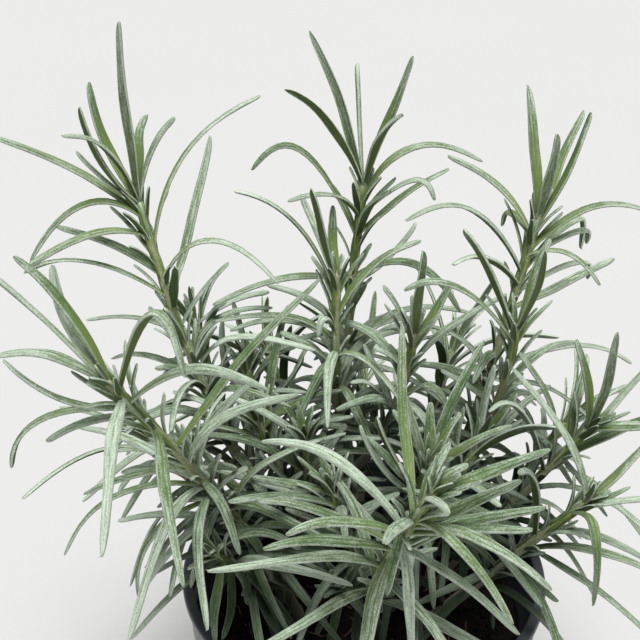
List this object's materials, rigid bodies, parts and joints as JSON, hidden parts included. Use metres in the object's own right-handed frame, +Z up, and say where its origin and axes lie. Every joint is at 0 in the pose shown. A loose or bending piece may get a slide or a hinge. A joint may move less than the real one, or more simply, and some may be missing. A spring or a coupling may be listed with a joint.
{
  "type": "potted curry plant",
  "caption": "Curry plant with branched stems of narrow silver-green leaves, standing in soil in a round tapered nursery pot.",
  "frame": {"origin": "middle of the pot's flat underside, where it rests on the surface", "axes": "+Z up, +X to the right seen from the front, -Y towards the front, where the stems lean out"},
  "size_m": [0.1604, 0.1605, 0.212],
  "materials": {
    "pot_plastic": "satin, thin blow-formed dark grey plastic",
    "soil": "moist crumbly compost with reddish-brown fibres",
    "foliage": "silver-green leaves with short white felt, greener near their roots"
  },
  "bodies": {
    "root": {"pot": "pot_plastic", "soil": "soil", "stem_left_tall": "foliage", "stem_middle_tall": "foliage", "stem_right_tall": "foliage", "stem_left_front": "foliage", "stem_right_upper": "foliage", "stem_right_lower": "foliage", "stem_front": "foliage", "stem_middle_front": "foliage", "stem_left_low": "foliage", "stem_middle_low": "foliage", "stem_back_left": "foliage", "stem_back_right": "foliage", "stem_back_middle": "foliage", "stem_side_right": "foliage", "stem_side_left": "foliage"}
  },
  "joints": []
}
